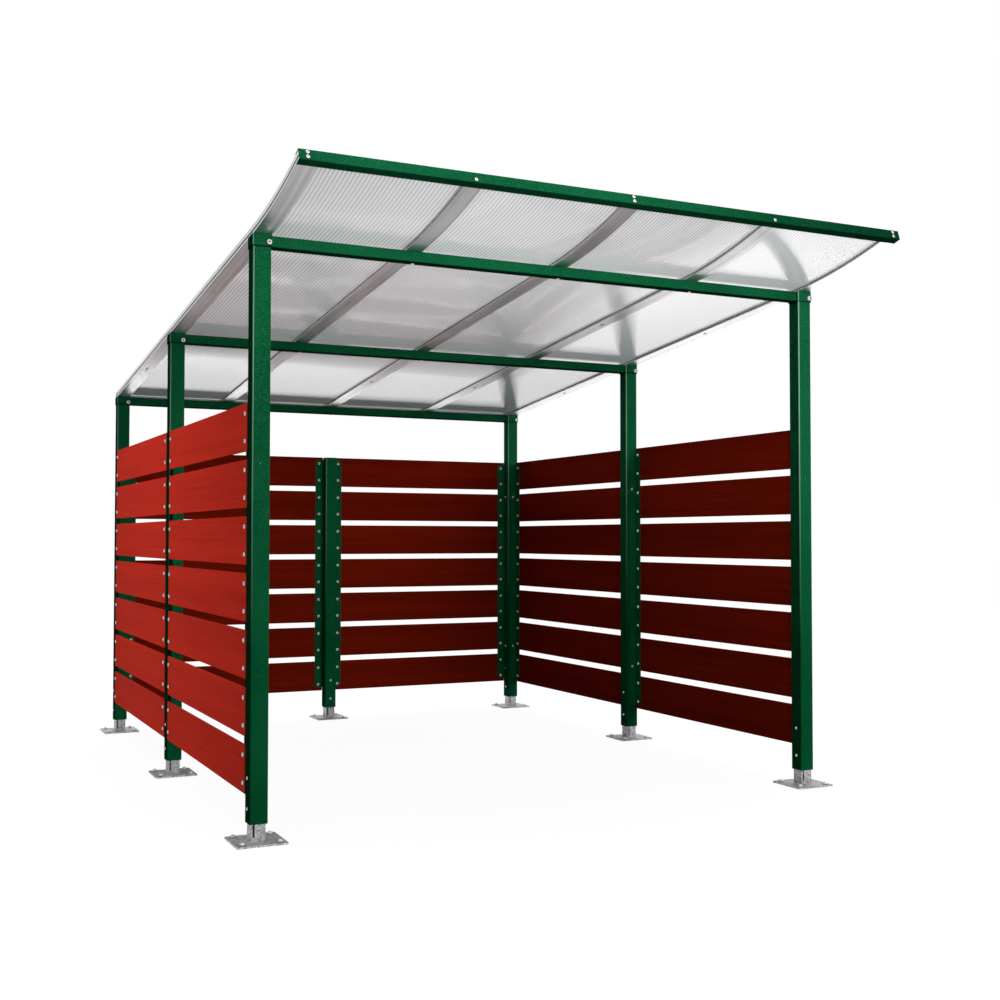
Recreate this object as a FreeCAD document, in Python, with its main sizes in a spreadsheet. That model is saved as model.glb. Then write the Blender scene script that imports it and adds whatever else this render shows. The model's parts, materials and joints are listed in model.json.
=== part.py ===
import FreeCAD, Part
import math
import os
import Sketcher
from FreeCAD import Placement, Rotation, Vector

# Bin shelter: an open-fronted steel frame with slatted walls on three sides
# and a curved multiwall roof on aluminium ribs. Origin at ground level in the
# middle of the plan, +Z up, the open front faces -Y.

doc = FreeCAD.newDocument("BinShelter")
sheet = doc.addObject("Spreadsheet::Sheet", "Sizes")

# Driving dimensions, in millimetres and degrees.
drivingSizes = [
    ("rowWidth", 2930),          # left post centre to right post centre
    ("bayDepth", 1735),          # one row of posts to the next
    ("postSize", 80),
    ("postWall", 3),
    ("postRound", 6),            # outer corner radius of the tube
    ("postFoot", 80),            # ground to the lower end of the tube
    ("roofBase", 2600),          # underside of the ribs over the front row
    ("roofSlope", 5.83),         # degrees, falling to the back
    ("curveRadius", 3400),       # underside of the ribs ahead of the front row
    ("curveAngle", 12.1),        # degrees that the roof turns up at the front
    ("centrePostDrop", 3),       # top of the centre post below the top of the wall
    ("plateSize", 222),
    ("plateThick", 8),
    ("plateCorner", 4),
    ("stubSize", 64),
    ("stubWall", 4),
    ("stubSlot", 8),             # width of the slot in the stub's front and back
    ("stubSlotInset", 8),        # stub's left edge to the slot
    ("stubSlotLow", 24),
    ("stubTop", 330),
    ("anchorInset", 30),         # plate edge to anchor hole centre
    ("anchorHole", 14),
    ("footBush", 20),            # square bushes through the stub, drilled with the post on site
    ("footBushLow", 150),
    ("footBushHigh", 285),
    ("headWall", 3),             # sleeve around the top of a post
    ("headTall", 52),
    ("headRound", 5),
    ("fitGap", 0.2),             # head to post, bush to post, sheet edge to cap
    ("beamTall", 50),
    ("beamDeep", 50),
    ("beamWall", 3),
    ("beamRound", 4),
    ("beamHole", 9),             # plain hole half way between two ribs
    ("ribWidth", 80),
    ("ribTall", 8),
    ("upstandWidth", 14),
    ("gasketTall", 4),
    ("gasketWidth", 12),
    ("gasketLeg", 5),            # outer gaskets turn up the edge of the side sheets
    ("sheetThick", 16),
    ("sheetGap", 5),             # sheet edge to the upstand
    ("capTall", 12),
    ("capBevel", 4),
    ("capLip", 3),               # outer leg that closes the edge of a side sheet
    ("channelWall", 3),
    ("channelDeep", 42),
    ("channelRound", 2.5),
    ("channelFit", 0.3),         # curved roof edge to the channel's flat flanges
    ("closerThick", 2),          # angle that closes the low end of the sheets
    ("closerCover", 24),
    ("wallBottom", 195),
    ("wallClear", 365),          # top of the wall to the ribs over the back row
    ("boardGap", 36),
    ("boardThick", 10),
    ("boardCount", 7),
    ("boardEnd", 3),             # board end to post
    ("boardChamfer", 1.5),
    ("angleWall", 3),
    ("anglePost", 50),           # leg on the post
    ("angleBoard", 58),          # leg behind the boards
    ("angleInset", 20),          # angle end below the top of the wall
    ("angleLift", 24),           # angle end above the bottom of the wall
    ("angleBevel", 9),
]

# Sizes that follow from the driving ones.
derivedSizes = [
    ("outerLine", "=(rowWidth + postSize) / 2"),
    ("sheetWidth", "=(outerLine - capLip - fitGap) / 2 - 0.75 * upstandWidth - 1.5 * sheetGap"),
    ("ribSpacing", "=sheetWidth + upstandWidth + 2 * sheetGap"),
    ("roofStack", "=ribTall + gasketTall + sheetThick + capTall"),
    ("sheetLow", "=ribTall + gasketTall"),
    ("sheetHigh", "=ribTall + gasketTall + sheetThick"),
    ("endAngle", "=roofSlope + curveAngle"),
    ("curveReach", "=curveRadius * (sin(endAngle * 1 deg) - sin(roofSlope * 1 deg))"),
    ("channelLip", "=channelWall + channelFit"),
    ("channelLean", "=channelWall * cos(endAngle * 1 deg) + channelLip * sin(endAngle * 1 deg)"),
    ("frontReach", "=curveReach + channelLean"),
    ("planShift", "=(frontReach - plateSize / 2) / 2"),
    ("frontRow", "=planShift - bayDepth"),
    ("midRow", "=planShift"),
    ("backRow", "=planShift + bayDepth"),
    ("rearReach", "=(2 * bayDepth + postSize / 2) / cos(roofSlope * 1 deg)"),
    ("backRoof", "=roofBase - 2 * bayDepth * tan(roofSlope * 1 deg)"),
    ("wallTop", "=backRoof - wallClear"),
    ("centrePostTop", "=wallTop - centrePostDrop"),
    ("wallTall", "=wallTop - wallBottom"),
    ("boardTall", "=(wallTall + boardGap) / boardCount - boardGap"),
    ("sideBoard", "=bayDepth - postSize - 2 * boardEnd"),
    ("backBoard", "=rowWidth / 2 - postSize - 2 * boardEnd"),
    ("angleTall", "=wallTall - angleInset - angleLift"),
    ("angleBottom", "=wallBottom + angleLift"),
]

aliases = {alias for alias, _ in drivingSizes + derivedSizes}
finished = []
alongX = Vector(1, 0, 0)
alongY = Vector(0, 1, 0)
alongZ = Vector(0, 0, 1)
near = 1e-5                      # lengths closer than this count as equal

for row, (alias, value) in enumerate(drivingSizes + derivedSizes, start=1):
    sheet.set("A%d" % row, alias)
    sheet.set("B%d" % row, str(value))
    sheet.setAlias("B%d" % row, alias)
doc.recompute()


def size(expression):
    """Value of an expression over the sheet's aliases."""
    value = sheet.evalExpression(bound(expression))
    return getattr(value, "Value", value)


def bound(expression):
    """The expression with each alias written as a cell of the sheet."""
    words = []
    word = ""
    for letter in expression + " ":
        if letter.isalnum():
            word += letter
            continue
        words.append("Sizes." + word if word in aliases else word)
        words.append(letter)
        word = ""
    return "".join(words).strip()


def originPlane(body, role):
    return next(item for item in body.Origin.OriginFeatures if item.Role == role)


def newBody(label, x="0", y="0", z="0", droop=None):
    """Body whose place follows the sheet, and whose Y axis may droop from level."""
    body = doc.addObject("PartDesign::Body", label)
    body.Label = label
    body.AllowCompound = True
    if droop:
        body.Placement = Placement(Vector(0, 0, 0), Rotation(Vector(1, 0, 0), -size(droop)))
        body.setExpression("Placement.Rotation.Angle", bound("-(%s)" % droop))
    for axis, expression in (("x", x), ("y", y), ("z", z)):
        body.setExpression("Placement.Base." + axis, bound(expression))
    return body


def newSketch(body, name, plane, offset=None):
    """Sketch on an origin plane of the body, moved along the plane's normal."""
    sketch = body.newObject("Sketcher::SketchObject", body.Name + name)
    sketch.AttachmentSupport = [(originPlane(body, plane), "")]
    sketch.MapMode = "FlatFace"
    if offset:
        sketch.setExpression("AttachmentOffset.Base.z", bound(offset))
    return sketch


def drive(sketch, constraint, expression):
    """Add a dimension to a sketch and tie it to the sheet."""
    index = sketch.addConstraint(constraint)
    sketch.setExpression("Constraints[%d]" % index, bound(expression))


def addRectangle(sketch, left, right, low, high):
    """Rectangle whose four sides are each tied to an expression."""
    x0, x1, y0, y1 = (size(side) for side in (left, right, low, high))
    corners = [Vector(x0, y0, 0), Vector(x1, y0, 0), Vector(x1, y1, 0), Vector(x0, y1, 0)]
    first = sketch.GeometryCount
    for k in range(4):
        sketch.addGeometry(Part.LineSegment(corners[k], corners[(k + 1) % 4]))
    for k in range(4):
        sketch.addConstraint(Sketcher.Constraint("Coincident", first + k, 2, first + (k + 1) % 4, 1))
    for k, kind in enumerate(("Horizontal", "Vertical", "Horizontal", "Vertical")):
        sketch.addConstraint(Sketcher.Constraint(kind, first + k))
    drive(sketch, Sketcher.Constraint("DistanceX", -1, 1, first, 1, x0), left)
    drive(sketch, Sketcher.Constraint("DistanceY", -1, 1, first, 1, y0), low)
    drive(sketch, Sketcher.Constraint("DistanceX", -1, 1, first + 2, 1, x1), right)
    drive(sketch, Sketcher.Constraint("DistanceY", -1, 1, first + 2, 1, y1), high)


def addSquare(sketch, side):
    half = "(%s) / 2" % side
    addRectangle(sketch, "-" + half, half, "-" + half, half)


def addCircle(sketch, x, y, diameter):
    centre = Vector(size(x), size(y), 0)
    index = sketch.addGeometry(Part.Circle(centre, Vector(0, 0, 1), size(diameter) / 2))
    drive(sketch, Sketcher.Constraint("DistanceX", -1, 1, index, 3, centre.x), x)
    drive(sketch, Sketcher.Constraint("DistanceY", -1, 1, index, 3, centre.y), y)
    drive(sketch, Sketcher.Constraint("Diameter", index, size(diameter)), diameter)


def addLoop(sketch, points):
    """Closed loop of straight lines through points given as pairs of expressions."""
    places = [Vector(size(x), size(y), 0) for x, y in points]
    count = len(points)
    first = sketch.GeometryCount
    for k in range(count):
        sketch.addGeometry(Part.LineSegment(places[k], places[(k + 1) % count]))
    for k in range(count):
        sketch.addConstraint(Sketcher.Constraint("Coincident", first + k, 2, first + (k + 1) % count, 1))
    for k, (x, y) in enumerate(points):
        drive(sketch, Sketcher.Constraint("DistanceX", -1, 1, first + k, 1, places[k].x), x)
        drive(sketch, Sketcher.Constraint("DistanceY", -1, 1, first + k, 1, places[k].y), y)


def pad(body, sketch, length, both=False, back=False):
    feature = body.newObject("PartDesign::Pad", sketch.Name + "Pad")
    feature.Profile = sketch
    feature.SideType = "Symmetric" if both else "One side"
    feature.Reversed = back
    feature.setExpression("Length", bound(length))
    sketch.Visibility = False
    return feature


def pocket(body, sketch, length, both=False, back=False):
    """Pocket that is checked to remove material."""
    doc.recompute()
    before = body.Shape.Volume
    feature = body.newObject("PartDesign::Pocket", sketch.Name + "Pocket")
    feature.Profile = sketch
    feature.SideType = "Symmetric" if both else "One side"
    feature.Reversed = back
    feature.setExpression("Length", bound(length))
    doc.recompute()
    if body.Shape.Volume >= before:
        raise RuntimeError(sketch.Name + " cuts nothing")
    return feature


def edgesAlong(shape, direction, keep):
    """Names of the straight edges along a direction whose middle passes a test."""
    names = []
    for number, edge in enumerate(shape.Edges, start=1):
        if edge.Curve.TypeId != "Part::GeomLine":
            continue
        along = edge.tangentAt(edge.FirstParameter)
        if abs(abs(along.dot(direction)) - 1) > near:
            continue
        if keep(edge.CenterOfMass):
            names.append("Edge%d" % number)
    return names


def dress(body, kind, name, edges, radius):
    """Fillet or chamfer on named edges of the body's last feature."""
    base = body.Tip
    feature = body.newObject("PartDesign::" + kind, body.Name + name)
    feature.Base = (base, edges)
    feature.setExpression("Size" if kind == "Chamfer" else "Radius", bound(radius))
    return feature


def finish(body):
    doc.recompute()
    finished.append(body)


def roundedTube(body, side, wall, corner, length, offset):
    """Square tube along the body's Z axis with rounded outer corners."""
    section = newSketch(body, "Section", "XY_Plane", offset)
    addSquare(section, side)
    addSquare(section, "%s - 2 * (%s)" % (side, wall))
    pad(body, section, length)
    doc.recompute()
    outer = size(side) / 2
    isOuter = lambda middle: abs(abs(middle.x) - outer) < near
    dress(body, "Fillet", "Round", edgesAlong(body.Tip.Shape, alongZ, isOuter), corner)
    doc.recompute()


def roofHeight(row):
    """Underside of the ribs above a row of posts, as an expression."""
    return "roofBase - (%s - frontRow) * tan(roofSlope * 1 deg)" % row


def cutToSlope(body, top, spare):
    """Cut what rises above the sloping underside of the ribs."""
    lip = "(%s) * tan(roofSlope * 1 deg)" % spare
    wedge = newSketch(body, "Slope", "YZ_Plane")
    addLoop(wedge, [
        ("-(%s)" % spare, "%s + %s" % (top, lip)),
        (spare, "%s - %s" % (top, lip)),
        (spare, "%s + 2 * %s" % (top, spare)),
        ("-(%s)" % spare, "%s + 2 * %s" % (top, spare)),
    ])
    pocket(body, wedge, "4 * (%s)" % spare, both=True)


def buildPost(label, x, row, top, sloped):
    """Square tube post that stands over its foot's stub."""
    body = newBody(label, x, row)
    spare = "postSize"
    length = "%s + %s - postFoot" % (top, spare if sloped else "0")
    roundedTube(body, "postSize", "postWall", "postRound", length, "postFoot")
    if sloped:
        cutToSlope(body, top, spare)
    finish(body)


def buildFoot(label, x, row, bushPlane):
    """Base plate with a slotted square stub and two bushes that reach the post's walls."""
    body = newBody(label, x, row)
    outline = newSketch(body, "Plate", "XY_Plane")
    addSquare(outline, "plateSize")
    pad(body, outline, "plateThick")
    doc.recompute()
    anyEdge = lambda middle: True
    dress(body, "Chamfer", "PlateCorner", edgesAlong(body.Tip.Shape, alongZ, anyEdge), "plateCorner")
    stub = newSketch(body, "Stub", "XY_Plane", "plateThick")
    addSquare(stub, "stubSize")
    addSquare(stub, "stubSize - 2 * stubWall")
    pad(body, stub, "stubTop - plateThick")
    slot = newSketch(body, "Slot", "XZ_Plane")
    slotLeft = "-stubSize / 2 + stubSlotInset"
    addRectangle(slot, slotLeft, slotLeft + " + stubSlot", "stubSlotLow", "stubTop + stubSlot")
    pocket(body, slot, "stubSize * 2", both=True)
    anchors = newSketch(body, "Anchors", "XY_Plane")
    reach = "(plateSize / 2 - anchorInset)"
    for across in ("-" + reach, reach):
        for along in ("-" + reach, reach):
            addCircle(anchors, across, along, "anchorHole")
    pocket(body, anchors, "plateThick", back=True)
    bushes = newSketch(body, "Bushes", bushPlane)
    for height in ("footBushLow", "footBushHigh"):
        addRectangle(bushes, "-footBush / 2", "footBush / 2",
                     height + " - footBush / 2", height + " + footBush / 2")
    pad(body, bushes, "postSize - 2 * postWall - 2 * fitGap", both=True)
    finish(body)


def buildHead(label, x, row):
    """Sleeve around the top of a post, cut to the slope of the roof."""
    body = newBody(label, x, row)
    side = "(postSize + 2 * fitGap + 2 * headWall)"
    top = roofHeight(row)
    spare = "postSize"
    start = "%s - headTall" % top
    section = newSketch(body, "Section", "XY_Plane", start)
    addSquare(section, side)
    addSquare(section, "postSize + 2 * fitGap")
    pad(body, section, "headTall + " + spare)
    doc.recompute()
    outer = size(side) / 2
    isOuter = lambda middle: abs(abs(middle.x) - outer) < near
    dress(body, "Fillet", "Round", edgesAlong(body.Tip.Shape, alongZ, isOuter), "headRound")
    cutToSlope(body, top, spare)
    finish(body)


def buildCrossbeam(label, row):
    """Tube from head to head with its top in the plane of the ribs' underside."""
    body = newBody(label, "0", row, roofHeight(row), droop="roofSlope")
    section = newSketch(body, "Section", "YZ_Plane")
    addRectangle(section, "-beamDeep / 2", "beamDeep / 2", "-beamTall", "0")
    addRectangle(section, "-beamDeep / 2 + beamWall", "beamDeep / 2 - beamWall",
                 "-beamTall + beamWall", "-beamWall")
    pad(body, section, "rowWidth - postSize - 2 * fitGap - 2 * headWall", both=True)
    doc.recompute()
    half = size("beamDeep / 2")
    isOuter = lambda middle: abs(abs(middle.y) - half) < near
    dress(body, "Fillet", "Round", edgesAlong(body.Tip.Shape, alongX, isOuter), "beamRound")
    holes = newSketch(body, "Holes", "XZ_Plane")
    for side in ("-", ""):
        addCircle(holes, side + "ribSpacing / 2", "-beamTall / 2", "beamHole")
    pocket(body, holes, "beamDeep", back=True)
    finish(body)


def addRoofOutline(sketch, low, high, rearTrim):
    """Side outline of a roof layer between two heights above the ribs' underside.

    It runs straight over the posts and turns up ahead of the front row.
    """
    radius, turn = size("curveRadius"), math.radians(size("curveAngle"))
    levels = size(low), size(high)
    rear = size("rearReach - (%s)" % rearTrim)
    hub = Vector(0, radius, 0)
    lowest = 1.5 * math.pi
    arcs = []
    for level in levels:
        circle = Part.Circle(hub, Vector(0, 0, 1), radius - level)
        arcs.append(Part.ArcOfCircle(circle, lowest - turn, lowest))
    first = sketch.GeometryCount
    lowLine, lowArc, frontLine, highArc, highLine, rearLine = range(first, first + 6)
    sketch.addGeometry(Part.LineSegment(Vector(rear, levels[0], 0), Vector(0, levels[0], 0)))
    sketch.addGeometry(arcs[0])
    sketch.addGeometry(Part.LineSegment(arcs[0].StartPoint, arcs[1].StartPoint))
    sketch.addGeometry(arcs[1])
    sketch.addGeometry(Part.LineSegment(Vector(0, levels[1], 0), Vector(rear, levels[1], 0)))
    sketch.addGeometry(Part.LineSegment(Vector(rear, levels[1], 0), Vector(rear, levels[0], 0)))
    joins = [(lowLine, 2, lowArc, 2), (lowArc, 1, frontLine, 1), (frontLine, 2, highArc, 1),
             (highArc, 2, highLine, 1), (highLine, 2, rearLine, 1), (rearLine, 2, lowLine, 1)]
    for join in joins:
        sketch.addConstraint(Sketcher.Constraint("Coincident", *join))
    sketch.addConstraint(Sketcher.Constraint("Horizontal", lowLine))
    sketch.addConstraint(Sketcher.Constraint("Horizontal", highLine))
    sketch.addConstraint(Sketcher.Constraint("Vertical", rearLine))
    sketch.addConstraint(Sketcher.Constraint("Coincident", lowArc, 3, highArc, 3))
    for point in ((lowArc, 3), (lowArc, 2), (highArc, 2)):
        sketch.addConstraint(Sketcher.Constraint("PointOnObject", *point, -2))
    sketch.addConstraint(Sketcher.Constraint("PointOnObject", lowArc, 3, frontLine))
    drive(sketch, Sketcher.Constraint("DistanceY", -1, 1, lowArc, 3, radius), "curveRadius")
    drive(sketch, Sketcher.Constraint("DistanceY", -1, 1, lowLine, 1, levels[0]), low)
    drive(sketch, Sketcher.Constraint("DistanceY", -1, 1, highLine, 2, levels[1]), high)
    drive(sketch, Sketcher.Constraint("DistanceX", -1, 1, rearLine, 1, rear), "rearReach - (%s)" % rearTrim)
    drive(sketch, Sketcher.Constraint("DistanceX", lowArc, 1, lowArc, 3, hub.x - arcs[0].StartPoint.x),
          "(curveRadius - (%s)) * sin(curveAngle * 1 deg)" % low)


def addRoofLayer(body, name, low, high, left, right, rearTrim="0"):
    """Pad a roof layer between two places across the roof."""
    outline = newSketch(body, name, "YZ_Plane", left)
    addRoofOutline(outline, low, high, rearTrim)
    return pad(body, outline, "(%s) - (%s)" % (right, left))


def roofLevel(point):
    """Height of a point of a roof layer above the ribs' underside."""
    if point.y > 0:
        return point.z
    radius = size("curveRadius")
    return radius - (point - Vector(point.x, 0, radius)).Length


def bevelLongEdges(body, level, bevel):
    """Bevel the edges that run along the roof at a given level."""
    doc.recompute()
    names = []
    for number, edge in enumerate(body.Tip.Shape.Edges, start=1):
        first, last = edge.Vertexes[0].Point, edge.Vertexes[-1].Point
        runsAlong = abs(first.x - last.x) < near and first.distanceToPoint(last) > size("ribWidth")
        onLevel = abs(roofLevel(first) - size(level)) < near and abs(roofLevel(last) - size(level)) < near
        if runsAlong and onLevel:
            names.append("Edge%d" % number)
    dress(body, "Chamfer", "LongBevel", names, bevel)


def newRoofBody(label, x="0"):
    """Body whose Y axis follows the underside of the ribs down to the back."""
    return newBody(label, x, "frontRow", "roofBase", droop="roofSlope")


def buildRib(label, x, upstand):
    """Flat rib on the posts and crossbeams; an inner one carries an upstand."""
    body = newRoofBody(label, x)
    addRoofLayer(body, "Base", "0", "ribTall", "-ribWidth / 2", "ribWidth / 2")
    if upstand:
        addRoofLayer(body, "Upstand", "ribTall", "sheetHigh", "-upstandWidth / 2", "upstandWidth / 2")
    finish(body)


def buildSheet(label, left):
    body = newRoofBody(label)
    addRoofLayer(body, "Outline", "sheetLow", "sheetHigh", left, "%s + sheetWidth" % left,
                 rearTrim="closerThick")
    finish(body)


def buildInnerCaps(label):
    """Cover strips over the upstands of the three inner ribs."""
    body = newRoofBody(label)
    for number, place in enumerate(("-ribSpacing", "0", "ribSpacing")):
        addRoofLayer(body, "Cap%d" % number, "sheetHigh", "roofStack",
                     "%s - ribWidth / 2" % place, "%s + ribWidth / 2" % place)
    bevelLongEdges(body, "roofStack", "capBevel")
    finish(body)


def buildEndCaps(label):
    """Cover strips at the sides, each with a lip down to the gasket's leg."""
    body = newRoofBody(label)
    for number, side in enumerate(("-", "")):
        inner = "%souterLine %s ribWidth" % (side, "+" if side else "-")
        outer = side + "outerLine"
        lip = "%souterLine %s capLip" % (side, "+" if side else "-")
        ends = (outer, inner) if side else (inner, outer)
        lips = (outer, lip) if side else (lip, outer)
        addRoofLayer(body, "Cap%d" % number, "sheetHigh", "roofStack", *ends)
        addRoofLayer(body, "Lip%d" % number, "sheetLow + gasketLeg", "sheetHigh", *lips)
    bevelLongEdges(body, "roofStack", "capBevel")
    finish(body)


def buildGaskets(label):
    """Rubber strips between the ribs and the sheets, along both edges of a rib."""
    body = newRoofBody(label)
    places = ["rowWidth / -2", "-ribSpacing", "0", "ribSpacing", "rowWidth / 2"]
    for number, place in enumerate(places):
        addRoofLayer(body, "Left%d" % number, "ribTall", "sheetLow",
                     "%s - ribWidth / 2" % place, "%s - ribWidth / 2 + gasketWidth" % place)
        addRoofLayer(body, "Right%d" % number, "ribTall", "sheetLow",
                     "%s + ribWidth / 2 - gasketWidth" % place, "%s + ribWidth / 2" % place)
    addRoofLayer(body, "LeftLeg", "sheetLow", "sheetLow + gasketLeg", "-outerLine", "-outerLine + capLip")
    addRoofLayer(body, "RightLeg", "sheetLow", "sheetLow + gasketLeg", "outerLine - capLip", "outerLine")
    finish(body)


def buildEaveChannel(label):
    """Channel that caps the upturned front edge of ribs and sheets."""
    body = newBody(label, "0", "frontRow + curveRadius * sin(roofSlope * 1 deg)",
                   "roofBase + curveRadius * cos(roofSlope * 1 deg)", droop="endAngle")
    section = newSketch(body, "Section", "YZ_Plane")
    top = "-curveRadius + roofStack + channelLip"
    low = "-curveRadius - channelLip"
    front = "-channelWall"
    rear = "channelDeep - channelWall"
    addLoop(section, [
        (front, low), (rear, low), (rear, low + " + channelWall"), ("0", low + " + channelWall"),
        ("0", top + " - channelWall"), (rear, top + " - channelWall"), (rear, top), (front, top),
    ])
    pad(body, section, "2 * outerLine", both=True)
    doc.recompute()
    face = size(front)
    isOuter = lambda middle: abs(middle.y - face) < near
    dress(body, "Fillet", "Round", edgesAlong(body.Tip.Shape, alongX, isOuter), "channelRound")
    finish(body)


def buildClosers(label):
    """Angles that close the low ends of the sheets between the ribs."""
    body = newRoofBody(label)
    edge = "rearReach"
    places = [("-rowWidth / 2", "-ribSpacing"), ("-ribSpacing", "0"),
              ("0", "ribSpacing"), ("ribSpacing", "rowWidth / 2")]
    for number, (left, right) in enumerate(places):
        start = "%s + ribWidth / 2" % left
        section = newSketch(body, "Bay%d" % number, "YZ_Plane", start)
        addLoop(section, [
            (edge, "0"), (edge, "sheetHigh + closerThick"),
            (edge + " - closerCover", "sheetHigh + closerThick"), (edge + " - closerCover", "sheetHigh"),
            (edge + " - closerThick", "sheetHigh"), (edge + " - closerThick", "0"),
        ])
        pad(body, section, "(%s - ribWidth / 2) - (%s)" % (right, start))
    finish(body)


def buildPanel(label, x, y, length, side):
    """Seven boards, one pad repeated up the wall. Side panels run along Y."""
    body = newBody(label, x, y, "wallBottom")
    plane = "XZ_Plane" if side == "back" else "YZ_Plane"
    outline = newSketch(body, "Board", plane)
    addRectangle(outline, "-(%s) / 2" % length, "(%s) / 2" % length, "0", "boardTall")
    board = pad(body, outline, "boardThick")
    doc.recompute()
    direction = alongX if side == "back" else alongY
    anyEdge = lambda middle: True
    bevel = dress(body, "Chamfer", "Bevel", edgesAlong(body.Tip.Shape, direction, anyEdge), "boardChamfer")
    pattern = body.newObject("PartDesign::LinearPattern", body.Name + "Rows")
    pattern.Originals = [board, bevel]
    pattern.Direction = (originPlane(body, "Z_Axis"), [""])
    pattern.Mode = "Spacing"
    pattern.setExpression("Offset", bound("boardTall + boardGap"))
    pattern.setExpression("Occurrences", bound("boardCount"))
    body.Tip = pattern
    finish(body)


def buildAngles(label, x, y, span, side):
    """Pair of angles, one on each post beside a panel."""
    body = newBody(label, x, y, "angleBottom")
    gap = "(%s) / 2" % span
    section = newSketch(body, "Section", "XY_Plane")
    if side == "back":
        corners = [("-%s" % gap, "0"), ("-%s + angleBoard" % gap, "0"),
                   ("-%s + angleBoard" % gap, "-angleWall"), ("-%s + angleWall" % gap, "-angleWall"),
                   ("-%s + angleWall" % gap, "-anglePost"), ("-%s" % gap, "-anglePost")]
        mirror = "YZ_Plane"
    else:
        sign = "" if side == "left" else "-"
        corners = [("0", "-%s" % gap), ("0", "-%s + angleBoard" % gap),
                   (sign + "angleWall", "-%s + angleBoard" % gap),
                   (sign + "angleWall", "-%s + angleWall" % gap),
                   (sign + "anglePost", "-%s + angleWall" % gap), (sign + "anglePost", "-%s" % gap)]
        mirror = "XZ_Plane"
    addLoop(section, corners)
    leg = pad(body, section, "angleTall")
    doc.recompute()
    tip = size(gap) - size("angleBoard")
    if side == "back":
        direction = alongY
        isTip = lambda middle: abs(abs(middle.x) - tip) < near
    else:
        direction = alongX
        isTip = lambda middle: abs(abs(middle.y) - tip) < near
    corner = dress(body, "Chamfer", "Corner", edgesAlong(body.Tip.Shape, direction, isTip), "angleBevel")
    other = body.newObject("PartDesign::Mirrored", body.Name + "Other")
    other.Originals = [leg, corner]
    other.MirrorPlane = (originPlane(body, mirror), [""])
    body.Tip = other
    finish(body)


# Posts, feet and heads.
rows = [("front", "frontRow"), ("mid", "midRow"), ("back", "backRow")]
columns = [("left", "-rowWidth / 2"), ("right", "rowWidth / 2")]
for rowName, row in rows:
    for columnName, column in columns:
        name = "%s_%s" % (rowName, columnName)
        buildPost(name + "_post", column, row, roofHeight(row), True)
        buildFoot(name + "_foot", column, row, "YZ_Plane")
        buildHead(name + "_post_head", column, row)
    buildCrossbeam(rowName + "_crossbeam", row)
buildPost("back_centre_post", "0", "backRow", "centrePostTop", False)
buildFoot("back_centre_foot", "0", "backRow", "XZ_Plane")

# Roof.
buildRib("left_end_rib", "-rowWidth / 2", False)
buildRib("left_inner_rib", "-ribSpacing", True)
buildRib("centre_rib", "0", True)
buildRib("right_inner_rib", "ribSpacing", True)
buildRib("right_end_rib", "rowWidth / 2", False)
buildSheet("left_outer_sheet", "-ribSpacing - upstandWidth / 2 - sheetGap - sheetWidth")
buildSheet("left_inner_sheet", "-upstandWidth / 2 - sheetGap - sheetWidth")
buildSheet("right_inner_sheet", "upstandWidth / 2 + sheetGap")
buildSheet("right_outer_sheet", "ribSpacing + upstandWidth / 2 + sheetGap")
buildInnerCaps("inner_rib_caps")
buildEndCaps("end_rib_caps")
buildGaskets("rib_gaskets")
buildEaveChannel("front_eave_channel")
buildClosers("rear_sheet_closers")

# Walls.
bays = [("front", "(frontRow + midRow) / 2"), ("rear", "(midRow + backRow) / 2")]
for bayName, middle in bays:
    buildPanel("left_%s_panel" % bayName, "-outerLine", middle, "sideBoard", "left")
    buildPanel("right_%s_panel" % bayName, "outerLine - boardThick", middle, "sideBoard", "right")
    buildAngles("left_%s_angles" % bayName, "-outerLine + boardThick", middle,
                "bayDepth - postSize", "left")
    buildAngles("right_%s_angles" % bayName, "outerLine - boardThick", middle,
                "bayDepth - postSize", "right")
for sideName, middle in (("left", "-rowWidth / 4"), ("right", "rowWidth / 4")):
    buildPanel("back_%s_panel" % sideName, middle, "backRow + postSize / 2", "backBoard", "back")
    buildAngles("back_%s_angles" % sideName, middle, "backRow + postSize / 2 - boardThick",
                "rowWidth / 2 - postSize", "back")

doc.recompute()
for item in doc.Objects:
    if "Invalid" in item.State or "Error" in item.State:
        raise RuntimeError("%s did not build" % item.Label)

os.makedirs("parts", exist_ok=True)
for body in finished:
    shape = body.Shape
    if shape.isNull() or not shape.isValid():
        raise RuntimeError("%s has no valid shape" % body.Label)
    shape.exportStep("parts/%s.step" % body.Label)
    print(body.Label, len(shape.Solids), [round(v) for v in (
        shape.BoundBox.XMin, shape.BoundBox.XMax, shape.BoundBox.YMin, shape.BoundBox.YMax,
        shape.BoundBox.ZMin, shape.BoundBox.ZMax)])
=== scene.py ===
import json
import math

import bmesh
import bpy
from mathutils import Matrix, Vector

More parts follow.
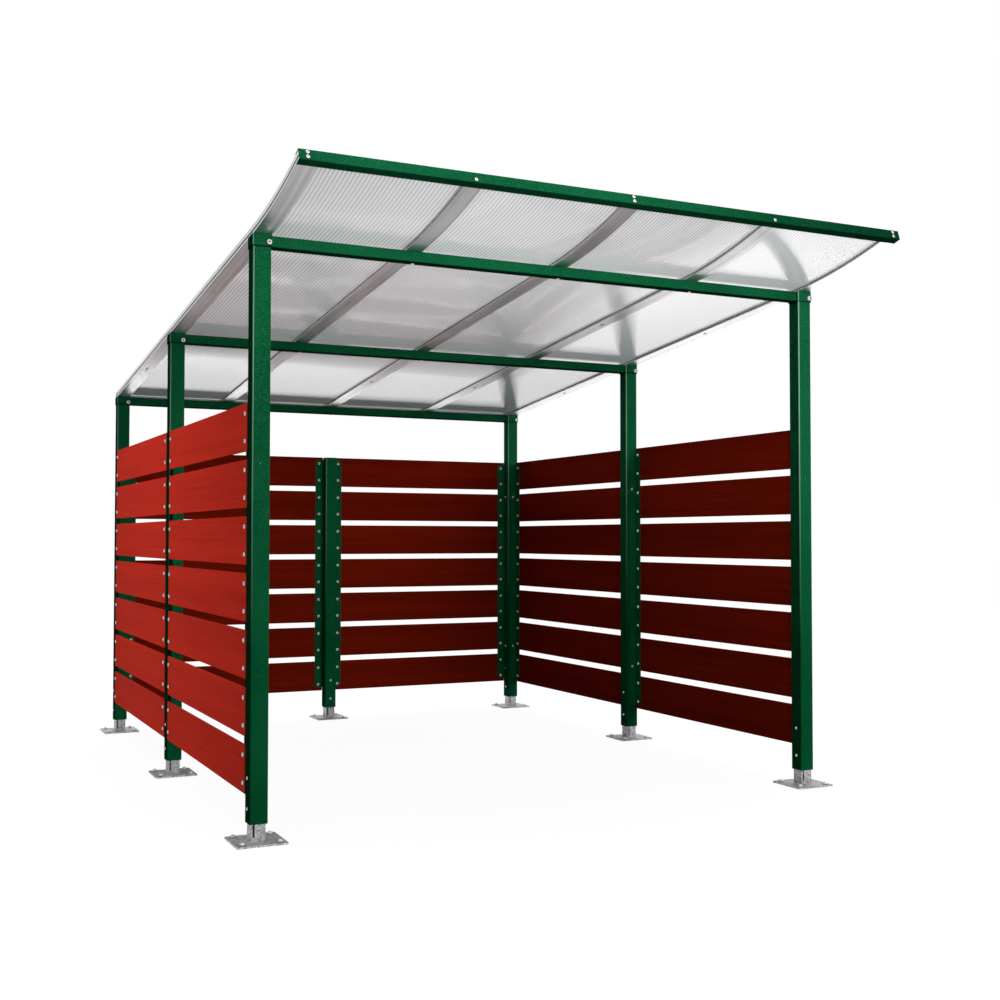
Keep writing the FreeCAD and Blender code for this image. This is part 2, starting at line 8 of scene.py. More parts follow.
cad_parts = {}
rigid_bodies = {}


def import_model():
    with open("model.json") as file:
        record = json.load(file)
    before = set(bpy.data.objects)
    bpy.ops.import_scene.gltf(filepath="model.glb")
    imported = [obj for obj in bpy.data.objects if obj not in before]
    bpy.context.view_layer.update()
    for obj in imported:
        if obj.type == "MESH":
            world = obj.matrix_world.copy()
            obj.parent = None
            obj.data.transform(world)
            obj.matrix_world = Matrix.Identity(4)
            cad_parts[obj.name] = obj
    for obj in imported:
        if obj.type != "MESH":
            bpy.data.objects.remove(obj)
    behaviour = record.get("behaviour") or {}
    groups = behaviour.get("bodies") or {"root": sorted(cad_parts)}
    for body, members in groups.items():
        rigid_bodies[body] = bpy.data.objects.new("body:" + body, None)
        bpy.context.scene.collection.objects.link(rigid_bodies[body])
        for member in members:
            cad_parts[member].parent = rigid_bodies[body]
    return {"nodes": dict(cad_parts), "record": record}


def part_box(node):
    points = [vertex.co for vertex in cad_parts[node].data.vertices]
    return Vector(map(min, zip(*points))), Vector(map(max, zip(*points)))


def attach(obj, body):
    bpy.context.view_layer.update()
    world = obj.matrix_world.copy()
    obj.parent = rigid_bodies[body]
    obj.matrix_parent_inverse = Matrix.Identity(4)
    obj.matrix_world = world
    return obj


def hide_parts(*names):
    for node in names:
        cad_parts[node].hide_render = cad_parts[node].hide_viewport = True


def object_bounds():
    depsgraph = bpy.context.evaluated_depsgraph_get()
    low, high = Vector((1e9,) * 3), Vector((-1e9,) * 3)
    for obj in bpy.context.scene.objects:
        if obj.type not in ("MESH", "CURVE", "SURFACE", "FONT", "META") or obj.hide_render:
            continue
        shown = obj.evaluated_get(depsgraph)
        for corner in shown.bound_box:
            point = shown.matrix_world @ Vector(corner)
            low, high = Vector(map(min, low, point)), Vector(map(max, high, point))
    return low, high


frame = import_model()
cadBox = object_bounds()
nodes = frame["nodes"]
print("frame loaded:", len(nodes), "nodes")


# Shader sockets that can be written as sums.
class Wire:
    def __init__(self, paint, socket):
        self.paint = paint
        self.socket = socket

    def __add__(self, other):
        return self.paint.maths("ADD", self, other)

    def __radd__(self, other):
        return self.paint.maths("ADD", other, self)

    def __sub__(self, other):
        return self.paint.maths("SUBTRACT", self, other)

    def __rsub__(self, other):
        return self.paint.maths("SUBTRACT", other, self)

    def __mul__(self, other):
        return self.paint.maths("MULTIPLY", self, other)

    def __rmul__(self, other):
        return self.paint.maths("MULTIPLY", other, self)

    def __truediv__(self, other):
        return self.paint.maths("DIVIDE", self, other)

    def __gt__(self, other):
        return self.paint.maths("GREATER_THAN", self, other)


class Paint:
    def __init__(self, name, **fixed):
        self.material = bpy.data.materials.new(name)
        self.material.use_nodes = True
        self.tree = self.material.node_tree
        self.shader = self.tree.nodes["Principled BSDF"]
        for socket, value in fixed.items():
            self.shader.inputs[socket.replace("_", " ")].default_value = value

    # one method for every node: settings go on the node, values and wires into its sockets
    def node(self, kind, settings=None, inputs=None, output=0):
        made = self.tree.nodes.new("ShaderNode" + kind)
        for key, value in (settings or {}).items():
            setattr(made, key, value)
        for key, value in (inputs or {}).items():
            if isinstance(value, Wire):
                self.tree.links.new(value.socket, made.inputs[key])
            else:
                made.inputs[key].default_value = value
        return Wire(self, made.outputs[output])

    def maths(self, operation, first, second=0):
        return self.node("Math", {"operation": operation}, {0: first, 1: second})

    def mixColour(self, share, first, second):
        return self.node("Mix", {"data_type": "RGBA"}, {0: share, 6: first, 7: second}, output=2)

    def mixShader(self, share, first, second):
        return self.node("MixShader", None, {0: share, 1: first, 2: second})

    def place(self, scale=(1, 1, 1), shift=(0, 0, 0)):
        point = self.node("TexCoord", output="Object")
        return self.node("Mapping", None, {"Vector": point, "Scale": scale, "Location": shift})

    def along(self, axis, vector):
        return self.node("SeparateXYZ", None, {"Vector": vector}, output=axis)

    def noise(self, scale, detail=2.0, roughness=0.5, stretch=(1, 1, 1), shift=(0, 0, 0)):
        inputs = {"Vector": self.place(stretch, shift), "Scale": scale, "Detail": detail,
                  "Roughness": roughness}
        return self.node("TexNoise", None, inputs)

    # what lies between two values becomes what lies between two others
    def span(self, wire, ends, made=(0, 1)):
        return self.node("MapRange", None, {0: wire, 1: ends[0], 2: ends[1], 3: made[0], 4: made[1]})

    def bump(self, height, strength, distance):
        return self.node("Bump", None, {"Height": height, "Strength": strength, "Distance": distance})

    def feed(self, **wires):
        for socket, wire in wires.items():
            self.tree.links.new(wire.socket, self.shader.inputs[socket.replace("_", " ")])
        return self.material

    def ownShader(self):
        return Wire(self, self.shader.outputs[0])

    def show(self, wire):
        self.tree.links.new(wire.socket, self.tree.nodes["Material Output"].inputs["Surface"])
        return self.material


def grey(level):
    return (level, level, level, 1)


noiseRange = (0.3, 0.7)  # where most of a noise's values lie

# Powder coat: a fine orange-peel with lighter grains in it.
# Its edge colour is a painted highlight on the posts' rounded corners.
coat = {"colour": (0.0020, 0.105, 0.036, 1), "deep": (0.0010, 0.078, 0.026, 1),
        # The near-black colour is a painted shadow along the lower end of the post heads' sleeves.
        "grain": (0.034, 0.20, 0.094, 1), "edge": (0.26, 0.50, 0.36, 1), "seamShadow": grey(0.004),
        "patchScale": 2.5, "patches": (0.35, 0.65), "grainScale": 300, "specks": (0.52, 0.64),
        "speckHeights": (0.5, 2.2), "speckShares": (0.25, 0.75), "cornerTurn": (0.05, 0.3),
        "cornerHeights": (0.8, 2.0), "seamShadowTall": 0.006, "roughness": (0.42, 0.6), "ior": 1.0,
        "bump": (0.25, 0.0006)}


def powderCoat(name, rim=None):
    paint = Paint(name, IOR=coat["ior"])
    patches = paint.noise(coat["patchScale"], detail=3)
    grains = paint.noise(coat["grainScale"], roughness=0.6)
    base = paint.mixColour(paint.span(patches, coat["patches"]), coat["deep"], coat["colour"])
    height = paint.along(2, paint.place())
    paintedLightUpward = paint.span(height, coat["speckHeights"], coat["speckShares"])  # fewer light specks low down, a painted shade that darkens the lower parts
    speckled = paint.mixColour(paint.span(grains, coat["specks"]) * paintedLightUpward, base, coat["grain"])
    # A painted highlight: the upper part of the rounded corners that face -X-Y and +X+Y is painted lighter.
    normal = paint.node("NewGeometry", output="Normal")
    turn = paint.along(0, normal) * paint.along(1, normal)
    corner = paint.span(turn, coat["cornerTurn"]) * paint.span(height, coat["cornerHeights"])
    colour = paint.mixColour(corner, speckled, coat["edge"])
    if rim is not None:  # a painted shadow along the lower end of a sleeve, where it stands proud of the post
        seamShadow = paint.span(height, (rim + coat["seamShadowTall"] / 2, rim + coat["seamShadowTall"]), (1, 0))
        colour = paint.mixColour(seamShadow, colour, coat["seamShadow"])
    rough = paint.span(grains, noiseRange, coat["roughness"])
    return paint.feed(Base_Color=colour, Roughness=rough, Normal=paint.bump(grains, *coat["bump"]))


# Hot-dip zinc: spangle, cloudy patches and a dull sheen.
zinc = {"light": (0.74, 0.74, 0.75, 1), "dark": (0.26, 0.26, 0.27, 1), "metallic": 0.75,
        "spangleScale": 150, "spangleShare": 0.45, "cloudScale": 45, "cloudShare": 0.75,
        "contrast": (0.35, 0.85), "roughness": (0.5, 0.7), "bump": (0.3, 0.0008)}


def galvanising():
    paint = Paint("galvanised_steel", Metallic=zinc["metallic"])
    inputs = {"Vector": paint.place(), "Scale": zinc["spangleScale"]}
    cells = paint.node("TexVoronoi", None, inputs, output="Color")
    spangle = paint.node("SeparateColor", None, {"Color": cells})
    cloud = paint.noise(zinc["cloudScale"], detail=4, roughness=0.65)
    mixed = spangle * zinc["spangleShare"] + cloud * zinc["cloudShare"]
    colour = paint.mixColour(paint.span(mixed, zinc["contrast"]), zinc["dark"], zinc["light"])
    rough = paint.span(cloud, noiseRange, zinc["roughness"])
    return paint.feed(Base_Color=colour, Roughness=rough, Normal=paint.bump(cloud, *zinc["bump"]))


# Anodised aluminium with fine lines drawn along the length.
drawn = {"colour": grey(0.84), "line": grey(0.50), "metallic": 0.9, "across": 80, "along": 0.5,
         "lineShare": 0.7, "cloudScale": 3, "cloudShare": 0.3, "ribRoughness": (0.29, 0.37),
         "capRoughness": (0.37, 0.45)}


def drawnAluminium(name, roughness):
    paint = Paint(name, Metallic=drawn["metallic"])
    lines = paint.noise(1, stretch=(drawn["across"], drawn["along"], drawn["along"]))
    cloud = paint.noise(drawn["cloudScale"])
    share = paint.span(lines * drawn["lineShare"] + cloud * drawn["cloudShare"], noiseRange)
    colour = paint.mixColour(share, drawn["line"], drawn["colour"])
    return paint.feed(Base_Color=colour, Roughness=paint.span(cloud, noiseRange, roughness))


gasket = {"dark": grey(0.008), "light": grey(0.022), "sheen": 0.3, "grainScale": 400,
          "roughness": (0.6, 0.8), "bump": (0.2, 0.0003)}


def gasketRubber():
    paint = Paint("black_gasket_rubber", Specular_IOR_Level=gasket["sheen"])
    grain = paint.noise(gasket["grainScale"])
    colour = paint.mixColour(grain, gasket["dark"], gasket["light"])
    rough = paint.span(grain, noiseRange, gasket["roughness"])
    return paint.feed(Base_Color=colour, Roughness=rough, Normal=paint.bump(grain, *gasket["bump"]))


# Coloured boards: the outer faces in the bright red, the inner faces in a darker copy of it as painted
# shade, with a fine grain along the length.
board = {"outside": (0.50, 0.027, 0.014, 1), "outsideGrain": (0.38, 0.017, 0.009, 1),
         "insideShade": (0.22, 0.012, 0.0030, 1), "insideShadeGrain": (0.14, 0.008, 0.0022, 1),
         "along": 1.1, "across": 75, "fibreShare": 0.6, "bandScale": 0.16, "bandShift": (3.1, 0.7, 5.3),
         "bandShare": 0.5, "contrast": (0.42, 0.68), "roughness": (0.5, 0.62), "ior": 1.02,
         "bump": (0.2, 0.0005)}


def colouredBoard(name, along, outward, middle):
    paint = Paint(name, IOR=board["ior"])
    stretch = [board["across"]] * 3
    stretch[along] = board["along"]
    fibres = paint.noise(1, detail=6, roughness=0.6, stretch=stretch)
    bands = paint.noise(board["bandScale"], detail=3, stretch=stretch, shift=board["bandShift"])
    grain = paint.span(fibres * board["fibreShare"] + bands * board["bandShare"], board["contrast"])
    axis, way = outward
    outer = (paint.along(axis, paint.place()) * way) > middle
    bright = paint.mixColour(grain, board["outsideGrain"], board["outside"])
    dark = paint.mixColour(grain, board["insideShadeGrain"], board["insideShade"])
    # The inner faces take the darker copy of the red as painted shade.
    colour = paint.mixColour(outer, dark, bright)
    rough = paint.span(grain, (0, 1), board["roughness"])
    return paint.feed(Base_Color=colour, Roughness=rough, Normal=paint.bump(fibres, *board["bump"]))


# Multiwall sheet: glossy skins with a web line at each flute, mostly lit through.
sheet = {"colour": (0.94, 0.94, 0.95, 1), "web": (0.52, 0.52, 0.53, 1), "webEdge": (0.55, 0.95),
         "through": 0.9, "skins": 1.9, "roughness": 0.05, "ior": 1.5, "flutes": 41, "dip": 0.0006}


def multiwallSheet(start, pitch):
    paint = Paint("clear_multiwall_sheet", Specular_IOR_Level=0.0, Roughness=1.0)
    across = (paint.along(0, paint.place()) - start) / pitch
    toWeb = paint.maths("ABSOLUTE", paint.maths("FRACT", across) - 0.5) * 2
    web = paint.span(toWeb, sheet["webEdge"])
    paint.feed(Base_Color=paint.mixColour(web, sheet["colour"], sheet["web"]))
    pane, line = [paint.node("BsdfTranslucent", None, {"Color": sheet[part]}) for part in ("colour", "web")]
    body = paint.mixShader(sheet["through"], paint.ownShader(), paint.mixShader(web, pane, line))
    mirror = paint.node("BsdfAnisotropic", None, {"Color": grey(1), "Roughness": sheet["roughness"]})
    single = paint.node("Fresnel", None, {"IOR": sheet["ior"]})
    hidden = paint.node("NewGeometry", output="Backfacing")
    double = (single * sheet["skins"]) / (single + 1) * (1 - hidden)  # what both skins throw back
    return paint.show(paint.mixShader(double, body, mirror))


plating = {"dull": grey(0.86), "bright": grey(0.95), "metallic": 0.3, "cloudScale": 180,
           "roughness": (0.2, 0.3), "bump": (0.1, 0.0002)}


def plated():
    paint = Paint("bright_plated_steel", Metallic=plating["metallic"])
    cloud = paint.noise(plating["cloudScale"], detail=3)
    colour = paint.mixColour(cloud, plating["dull"], plating["bright"])
    rough = paint.span(cloud, noiseRange, plating["roughness"])
    return paint.feed(Base_Color=colour, Roughness=rough, Normal=paint.bump(cloud, *plating["bump"]))


greenSteel = powderCoat("green_powder_coat")
zincSteel = galvanising()
ribMetal = drawnAluminium("rib_aluminium", drawn["ribRoughness"])
capMetal = drawnAluminium("cap_aluminium", drawn["capRoughness"])
rubber = gasketRubber()
brightSteel = plated()
bySlot = {"green_steel": greenSteel, "galvanised_steel": zincSteel, "aluminium": ribMetal,
          "gasket_rubber": rubber}
print("materials made")

panelSides = {"left": (0, -1), "right": (0, 1), "back": (1, 1)}  # axis that a wall faces, and its way out


def boardBox(name):
    low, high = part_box(name)
    return panelSides[name.split("_")[0]], low, high


def finishOf(name, slot):
    if slot == "red_board":
        (axis, way), low, high = boardBox(name)
        middle = way * (low[axis] + high[axis]) / 2
        return colouredBoard(name + "_paint", 1 - axis, (axis, way), middle)
    if name.endswith("head"):
        # the heads' lowest band is painted with shadow
        return powderCoat(name + "_coat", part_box(name)[0].z)
    return capMetal if name.endswith("caps") else bySlot[slot]


sheetNames = tuple(name for name in sorted(nodes) if name.endswith("sheet"))
for entry in frame["record"]["subparts"]:
    if entry["node"] not in sheetNames:
        slots = nodes[entry["node"]].data.materials
        slots.clear()
        slots.append(finishOf(entry["node"], entry["material_slot"]))
print("nodes covered")

# Tools for the turned and repeated small parts.
weld = 1e-6  # points nearer than this become one


def meshOf(bm, name):
    mesh = bpy.data.meshes.new(name)
    bm.to_mesh(mesh)
    bm.free()
    return mesh


def newObject(name, data):
    made = bpy.data.objects.new(name, data)
    bpy.context.scene.collection.objects.link(made)
    return made


def finishPiece(bm, name, materials):
    bmesh.ops.remove_doubles(bm, verts=bm.verts, dist=weld)
    piece = newObject(name, meshOf(bm, name))
    for material in materials:
        piece.data.materials.append(material)
    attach(piece, "root")
    return piece


def shadeByAngle(bm, limit=0.6):
    for face in bm.faces:
        face.smooth = True
    for edge in bm.edges:
        edge.smooth = edge.calc_face_angle(0) < limit


def turned(profile, steps, isDark=None):
    bm = bmesh.new()
    points = [bm.verts.new((radius, 0, height)) for radius, height in profile]
    edges = [bm.edges.new(pair) for pair in zip(points, points[1:])]
    bmesh.ops.spin(bm, geom=points + edges, cent=(0, 0, 0), axis=(0, 0, 1), angle=2 * math.pi,
                   steps=steps, use_merge=True)
    bmesh.ops.remove_doubles(bm, verts=bm.verts, dist=weld)
    bmesh.ops.recalc_face_normals(bm, faces=bm.faces)
    shadeByAngle(bm)
    for face in bm.faces:
        middle = face.calc_center_median()
        face.material_index = int(bool(isDark and isDark(middle.xy.length, middle.z)))
    return meshOf(bm, "turned")


def repeated(name, template, places, materials):
    bm = bmesh.new()
    for matrix in places:
        before = len(bm.verts)
        bm.from_mesh(template)
        bm.verts.ensure_lookup_table()
        bmesh.ops.transform(bm, matrix=matrix, verts=bm.verts[before:])
    finishPiece(bm, name, materials)


def facing(point, outward):
    turn = Vector(outward).to_track_quat("Z", "Y").to_matrix().to_4x4()
    return Matrix.Translation(point) @ turn


def scaled(places, size):
    return [place @ Matrix.Scale(size, 4) for place in places]


def middleOf(name):
    low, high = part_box(name)
    return (low + high) / 2


# Button head on a black washer, darkened also as painted shade round the head, with a dark disc in its
# crown painted as the shade of a socket.
domeBolt = {"head": 0.0105, "rise": 0.0062, "washer": 0.0135, "washerTall": 0.0014, "socket": 0.0036,
            "shoulder": 0.0082, "shoulderRise": 0.0042, "sunk": 0.0005, "steps": 10}


def domeBoltMesh():
    bolt = domeBolt
    crown = bolt["washerTall"] + bolt["rise"]
    profile = [(0, crown), (bolt["socket"], crown),
               (bolt["shoulder"], bolt["washerTall"] + bolt["shoulderRise"]),
               (bolt["head"], bolt["washerTall"]), (bolt["washer"], bolt["washerTall"]),
               (bolt["washer"], -bolt["sunk"]), (0, -bolt["sunk"])]

    # The crown's disc is painted shade, and the washer is darkened also as shade round the head.
    def isDark(reach, height):
        return (reach < bolt["socket"] and height > 0) or reach > bolt["head"]

    return turned(profile, bolt["steps"], isDark)


domeMesh = domeBoltMesh()

# The roof's line: it falls straight to the back and bends up ahead of the front row.
# Both skins of a sheet sag a little between the webs.
roof = {"droop": 5.83, "radius": 3.400, "bend": 12.1, "under": 0.012, "thick": 0.016,
        "rowY": -1.437893, "base": 2.600, "rearGap": 0.003, "steps": 12, "perFlute": 6, "seam": 0.0001}
droop = math.radians(roof["droop"])
bend = math.radians(roof["bend"])


def roofPlace():
    return Matrix.Translation((0, roof["rowY"], roof["base"])) @ Matrix.Rotation(-droop, 4, "X")


def flutedSheet(name):
    low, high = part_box(name)
    steps = sheet["flutes"] * roof["perFlute"]
    places = [low.x + (high.x - low.x) * step / steps for step in range(steps + 1)]
    sags = [sheet["dip"] * math.sin(math.pi * step / roof["perFlute"]) ** 2 for step in range(steps + 1)]
    bm = bmesh.new()
    under = [bm.verts.new((x, 0, roof["under"] + sag)) for x, sag in zip(places, sags)]
    top = roof["under"] + roof["thick"]
    over = [bm.verts.new((x, 0, top - sag)) for x, sag in zip(places, sags)]
    section = bm.faces.new(under + over[::-1])
    rearReach = (high.y - roof["rowY"]) / math.cos(droop) - roof["rearGap"]
    back = bmesh.ops.extrude_face_region(bm, geom=[section], use_keep_orig=True)
    backVerts = [item for item in back["geom"] if isinstance(item, bmesh.types.BMVert)]
    bmesh.ops.translate(bm, verts=backVerts, vec=(0, rearReach, 0))
    bmesh.ops.spin(bm, geom=[section], cent=(0, 0, roof["radius"]), axis=(1, 0, 0), angle=-bend,
                   steps=roof["steps"])
    bmesh.ops.remove_doubles(bm, verts=bm.verts, dist=weld)
    # the first section is left inside, where the bend begins
    inner = [face for face in bm.faces
             if len(face.verts) > 4 and abs(face.calc_center_median().y) < roof["seam"]]
    bmesh.ops.delete(bm, geom=inner, context="FACES_ONLY")
    bmesh.ops.transform(bm, matrix=roofPlace(), verts=bm.verts)
    bmesh.ops.recalc_face_normals(bm, faces=bm.faces)
    shadeByAngle(bm)
    material = multiwallSheet(low.x, (high.x - low.x) / sheet["flutes"])
    piece = finishPiece(bm, name + "_fluted", [material])
    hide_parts(name)


for name in sheetNames:
    flutedSheet(name)
print("roof sheets made")

angleLeg = 0.003  # the steel of the angles behind the boards
boardBolts = {"rows": 7, "gap": 0.036, "fromEdge": 0.045, "fromEnd": 0.0285}


def boardBoltPlaces(name):
    (axis, way), low, high = boardBox(name)
    along = 1 - axis
    pitch = (high.z - low.z + boardBolts["gap"]) / boardBolts["rows"]
    tall = pitch - boardBolts["gap"]
    outer, inner = (high[axis], low[axis]) if way > 0 else (low[axis], high[axis])
    places = []
    for row in range(boardBolts["rows"]):
        for lift in (boardBolts["fromEdge"], tall - boardBolts["fromEdge"]):
            for end in (low[along] + boardBolts["fromEnd"], high[along] - boardBolts["fromEnd"]):
                for depth, turn in ((outer, way), (inner - way * angleLeg, -way)):
                    point = Vector((0, 0, low.z + row * pitch + lift))
                    outward = Vector((0, 0, 0))
                    point[along] = end
                    point[axis] = depth
                    outward[axis] = turn
                    places.append(facing(point, outward))
    return places


for side in panelSides:
    places = []
    for name in sorted(nodes):
        if name.startswith(side) and name.endswith("panel"):
            places += boardBoltPlaces(name)
    repeated(side + "_wall_board_bolts", domeMesh, places, (brightSteel, rubber))
print("board bolts placed")

rows = ("front", "mid", "back")
sides = ("left", "right")
ribs = ("left_end_rib", "left_inner_rib", "centre_rib", "right_inner_rib", "right_end_rib")
frameBolts = {"headShift": 0.029, "headHeights": (2.570, 2.389, 2.212), "angleHeights": (1.614, 0.467),
              "footHeights": {"left": (0.272, 0.141), "right": (0.297, 0.154)},
              "small": 0.75, "large": 1.2, "sunk": 0.48}


def crossingBolts():
    places = []
    for row in rows:
        beam = row + "_crossbeam"
        for rib in ribs[1:-1]:
            places.append(facing((middleOf(rib).x, middleOf(beam).y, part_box(beam)[0].z), (0, 0, -1)))
    return places


def headBolts():
    places = []
    for row, height in zip(rows, frameBolts["headHeights"]):
        for side in sides:
            head = row + "_" + side + "_post_head"
            x = middleOf(head).x + frameBolts["headShift"]
            places.append(facing((x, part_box(head)[0].y, height), (0, -1, 0)))
    return places


def footBolts():
    places = []
    for side, heights in frameBolts["footHeights"].items():
        for height in heights:
            for row in rows:
                post = row + "_" + side + "_post"
                low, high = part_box(post)
                places.append(facing((low.x, middleOf(post).y, height), (-1, 0, 0)))
                places.append(facing((high.x, middleOf(post).y, height), (1, 0, 0)))
    low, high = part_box("back_centre_post")
    for height in frameBolts["footHeights"]["left"]:
        places.append(facing((0, low.y, height), (0, -1, 0)))
        places.append(facing((0, high.y, height), (0, 1, 0)))
    return places


def angleBolts():
    places = []
    for name in sorted(nodes):
        if not name.endswith("angles"):
            continue
        low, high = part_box(name)
        for height in frameBolts["angleHeights"]:
            if name.startswith("back"):
                x, way = (low.x + angleLeg, 1) if "left" in name else (high.x - angleLeg, -1)
                places.append(facing((x, middleOf("back_centre_post").y, height), (way, 0, 0)))
            else:
                x = middleOf("front_" + name.split("_")[0] + "_post").x
                places.append(facing((x, low.y + angleLeg, height), (0, 1, 0)))
                places.append(facing((x, high.y - angleLeg, height), (0, -1, 0)))
    return places


def spareHoles():
    places = []
    for height in frameBolts["angleHeights"]:
        for side in sides:
            front = "front_" + side + "_post"
            places.append(facing((middleOf(front).x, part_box(front)[0].y, height), (0, -1, 0)))
            for post in (front, "mid_" + side + "_post"):
                low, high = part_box(post)
                inner, way = (high.x, 1) if side == "left" else (low.x, -1)
                places.append(facing((inner, middleOf(post).y, height), (way, 0, 0)))
    return places


def ribBolts():
    down = roofPlace().to_3x3() @ Vector((0, 0, -1))
    rowPlaces = [middleOf(row + "_crossbeam").y for row in rows]
    places = []
    for rib in ribs:
        for nearRow, farRow in zip(rowPlaces, rowPlaces[1:]):
            reach = ((nearRow + farRow) / 2 - roof["rowY"]) / math.cos(droop)
            places.append(facing(roofPlace() @ Vector((middleOf(rib).x, reach, 0)), down))
    return places


# The channel's web stands square to the end of the bend.
channelWeb = {"front": 0.003, "upper": 0.032, "lower": 0.011, "endShift": 0.004}


def channelBolts():
    turn = droop + bend
    hub = Vector((0, roof["rowY"] + roof["radius"] * math.sin(droop),
                  roof["base"] + roof["radius"] * math.cos(droop)))
    up = Vector((0, math.sin(turn), math.cos(turn)))
    out = Vector((0, -math.cos(turn), math.sin(turn)))
    flat = Matrix.Diagonal((1, 1, frameBolts["sunk"], 1))
    places = []
    for rib in ribs:
        x = middleOf(rib).x
        x += math.copysign(channelWeb["endShift"], x) if "end" in rib else 0
        levels = ("lower",) if "inner" in rib else ("upper", "lower")
        for level in levels:
            point = hub - up * (roof["radius"] - channelWeb[level]) + out * channelWeb["front"]
            point.x = x
            places.append(facing(point, out) @ flat)
    return places


# Ground anchors: a black washer, darkened also as painted shade round the nut, a hexagon nut and a rod end.
anchor = {"inset": 0.030, "plateTop": 0.008, "washer": 0.0145, "washerTall": 0.0025, "nut": 0.0108,
          "nutTall": 0.0072, "rod": 0.0060, "rodTall": 0.0120, "chamfer": 0.0008, "steps": 20,
          "turn": 0.37}


def anchorMesh():
    bm = bmesh.new()
    seat = anchor["washerTall"]
    stack = [(anchor["steps"], anchor["washer"], 0, seat),
             (6, anchor["nut"], seat, seat + anchor["nutTall"]),
             (anchor["steps"] // 2, anchor["rod"], 0, anchor["rodTall"])]
    for sides, radius, low, high in stack:
        made = bmesh.ops.create_cone(bm, cap_ends=True, segments=sides, radius1=radius, radius2=radius,
                                     depth=high - low)
        bmesh.ops.translate(bm, verts=made["verts"], vec=(0, 0, (low + high) / 2))
    rims = [edge for edge in bm.edges
            if abs(edge.verts[0].co.z - edge.verts[1].co.z) < weld and edge.verts[0].co.z > seat / 2]
    bmesh.ops.bevel(bm, geom=rims, offset=anchor["chamfer"], affect="EDGES", segments=1, profile=0.5,
                    material=-1)
    for face in bm.faces:
        # The washer faces take the dark finish, also as painted shade round the nut.
        face.material_index = int(face.calc_center_median().z < seat)
    return meshOf(bm, "anchor")


def anchorPlaces():
    places = []
    for name in sorted(nodes):
        if not name.endswith("foot"):
            continue
        low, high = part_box(name)
        for x in (low.x + anchor["inset"], high.x - anchor["inset"]):
            for y in (low.y + anchor["inset"], high.y - anchor["inset"]):
                turn = Matrix.Rotation(len(places) * anchor["turn"], 4, "Z")  # no two nuts lie alike
                places.append(Matrix.Translation((x, y, anchor["plateTop"])) @ turn)
    return places


plug = {"radius": 0.0055, "crown": 0.0044, "rise": 0.0006, "sunk": 0.001, "steps": 16}
plugMesh = turned([(0, plug["rise"]), (plug["crown"], plug["rise"]), (plug["radius"], 0),
                   (plug["radius"], -plug["sunk"]), (0, -plug["sunk"])], plug["steps"])
small, large = frameBolts["small"], frameBolts["large"]
for name, places, size in (("crossbeam_bolts", crossingBolts(), small),
                           ("post_head_bolts", headBolts(), large),
                           ("foot_bolts", footBolts(), small),
                           ("wall_angle_bolts", angleBolts(), small),
                           ("rib_bolts", ribBolts(), small),
                           ("channel_bolts", channelBolts(), small)):
    repeated(name, domeMesh, scaled(places, size), (brightSteel, rubber))
repeated("spare_hole_plugs", plugMesh, spareHoles(), (greenSteel,))
repeated("ground_anchors", anchorMesh(), anchorPlaces(), (brightSteel, rubber))
print("frame bolts placed")

# Studio: floor, world, lamps and camera.
studio = {"world": 0.15, "floor": grey(0.95), "bounce": grey(0.05), "glow": 0.95, "mirrored": 0.25,
          "floorSize": 60, "floorGap": 0.001, "sunLevel": 1.0, "sunAngle": 50}


def studioFloor():
    paint = Paint("floor_white", Roughness=1.0, Specular_IOR_Level=0.0)
    bounced = paint.node("LightPath", output="Is Diffuse Ray")
    paint.feed(Base_Color=paint.mixColour(bounced, studio["floor"], studio["bounce"]))
    seen = paint.node("LightPath", output="Is Camera Ray") * studio["glow"]
    mirrored = paint.node("LightPath", output="Is Glossy Ray") * studio["mirrored"]
    glow = paint.node("Emission", None, {"Color": grey(1), "Strength": 1.0})
    paint.show(paint.mixShader(paint.maths("MAXIMUM", seen, mirrored), paint.ownShader(), glow))
    bm = bmesh.new()
    bmesh.ops.create_grid(bm, x_segments=1, y_segments=1, size=studio["floorSize"])
    floor = newObject("floor", meshOf(bm, "floor"))
    floor.data.materials.append(paint.material)
    floor.location.z = cadBox[0][2] - studio["floorGap"]
    return floor


def studioWorld():
    world = bpy.data.worlds.new("studio_world")
    world.use_nodes = True
    tree = world.node_tree
    background = tree.nodes["Background"]
    path = tree.nodes.new("ShaderNodeLightPath")
    share = tree.nodes.new("ShaderNodeMath")
    share.operation = "MAXIMUM"
    tree.links.new(path.outputs["Is Camera Ray"], share.inputs[0])
    tree.links.new(path.outputs["Is Glossy Ray"], share.inputs[1])
    spread = tree.nodes.new("ShaderNodeMapRange")
    spread.inputs["To Min"].default_value = studio["world"]
    spread.inputs["To Max"].default_value = 1.0
    tree.links.new(share.outputs[0], spread.inputs["Value"])
    tree.links.new(spread.outputs[0], background.inputs["Strength"])
    background.inputs["Color"].default_value = grey(1)
    bpy.context.scene.world = world


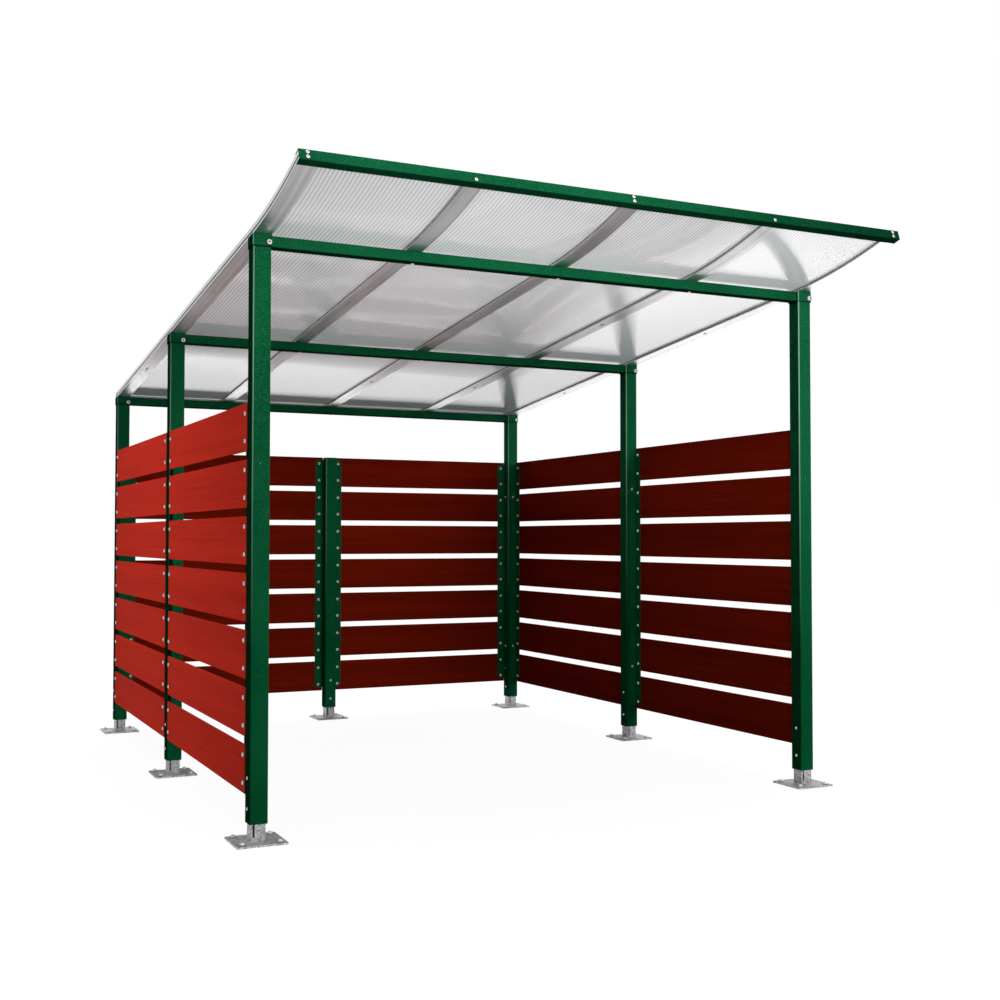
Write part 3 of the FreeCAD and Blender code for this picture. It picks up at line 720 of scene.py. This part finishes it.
# A lamp with "only" or "without" lights, or passes over, the nodes and pieces whose names start so.
rightPosts = tuple(row + "_right_post" for row in rows)
lamps = {
    "key": {"place": (-0.6, -4.1, 3.1), "aim": (-0.6, 0, 1.6), "width": 1.4, "level": 0.66, "reach": 2.8,
            "without": rightPosts + sheetNames},
    "rightKey": {"place": (1.6, -4.3, 3.0), "aim": (1.6, 0, 1.6), "width": 1.4, "level": 0.6, "reach": 3.0,
                 "only": rightPosts},
    "fill": {"place": (2.6, -9.5, 3.6), "aim": (0, 0, 1.2), "width": 3, "level": 0.42, "reach": 8.2,
             "without": ("front_eave_channel",) + sheetNames},
    "top": {"place": (0, 0.3, 7.5), "aim": (0, 0.3, 0), "width": 5, "level": 1.0, "reach": 5,
            "without": sheetNames},
    "roof": {"place": (0, -1.3, 4.9), "aim": (0, -1.3, 0), "width": 4, "deep": 1.2, "level": 1.45,
             "reach": 2.3, "only": sheetNames},
    "left": {"place": (-5.5, 0.8, 2.8), "aim": (-1.5, 0.3, 1.2), "width": 3, "level": 0.9, "reach": 4.3,
             "only": ("left_front_panel", "left_rear_panel")},
    "right": {"place": (5.5, 0.8, 2.8), "aim": (1.5, 0.3, 1.2), "width": 3, "level": 0.9, "reach": 4.3,
              "without": sheetNames},
    "rear": {"place": (0, 7.0, 2.8), "aim": (0, 2.0, 1.2), "width": 3, "level": 0.7, "reach": 5.2,
             "without": sheetNames},
}


def namedPieces(starts):
    found = {nodes[node].name: nodes[node] for node in nodes if node.startswith(starts)}
    found.update({item.name: item for item in bpy.data.objects if item.name.startswith(starts)})
    return [found[name] for name in sorted(found)]


def limitLamp(lamp, name, objects, state):
    group = bpy.data.collections.new(name + "_limits")
    for item in objects:
        group.objects.link(item)
    for entry in group.collection_objects:
        entry.light_linking.link_state = state
    lamp.light_linking.receiver_collection = group


def areaLamp(name, lamp):
    light = bpy.data.lights.new(name + "_lamp", "AREA")
    light.shape = "ELLIPSE"
    light.size = lamp["width"]
    light.size_y = lamp.get("deep", lamp["width"])
    light.energy = lamp["level"] * (math.pi * lamp["reach"]) ** 2  # white at the reach reads as the level
    made = newObject(name + "_lamp", light)
    made.location = lamp["place"]
    made.rotation_euler = (Vector(lamp["aim"]) - Vector(lamp["place"])).to_track_quat("-Z", "Y").to_euler()
    made.visible_glossy = False
    for key, state in (("only", "INCLUDE"), ("without", "EXCLUDE")):
        if key in lamp:
            limitLamp(made, name, namedPieces(lamp[key]), state)


def floorSun(floor):
    light = bpy.data.lights.new("floor_sun", "SUN")
    light.energy = studio["sunLevel"] * math.pi
    light.angle = math.radians(studio["sunAngle"])
    limitLamp(newObject("floor_sun", light), "floor_sun", [floor], "INCLUDE")


camera = {"place": (-2.9218, -6.8229, 1.2927), "yaw": 0.4517, "pitch": 0.0303, "roll": -0.0007,
          "lens": 45.87, "sensor": 36, "far": 200}


def photoCamera():
    data = bpy.data.cameras.new("camera")
    data.sensor_width = camera["sensor"]
    data.lens = camera["lens"]
    data.clip_end = camera["far"]
    made = newObject("camera", data)
    made.location = camera["place"]
    made.rotation_euler = (math.pi / 2 + camera["pitch"], camera["roll"], -camera["yaw"])
    bpy.context.scene.camera = made


floorSun(studioFloor())
studioWorld()
for name, lamp in lamps.items():
    areaLamp(name, lamp)
photoCamera()
bpy.context.scene.view_settings.view_transform = "Standard"
print("studio set")
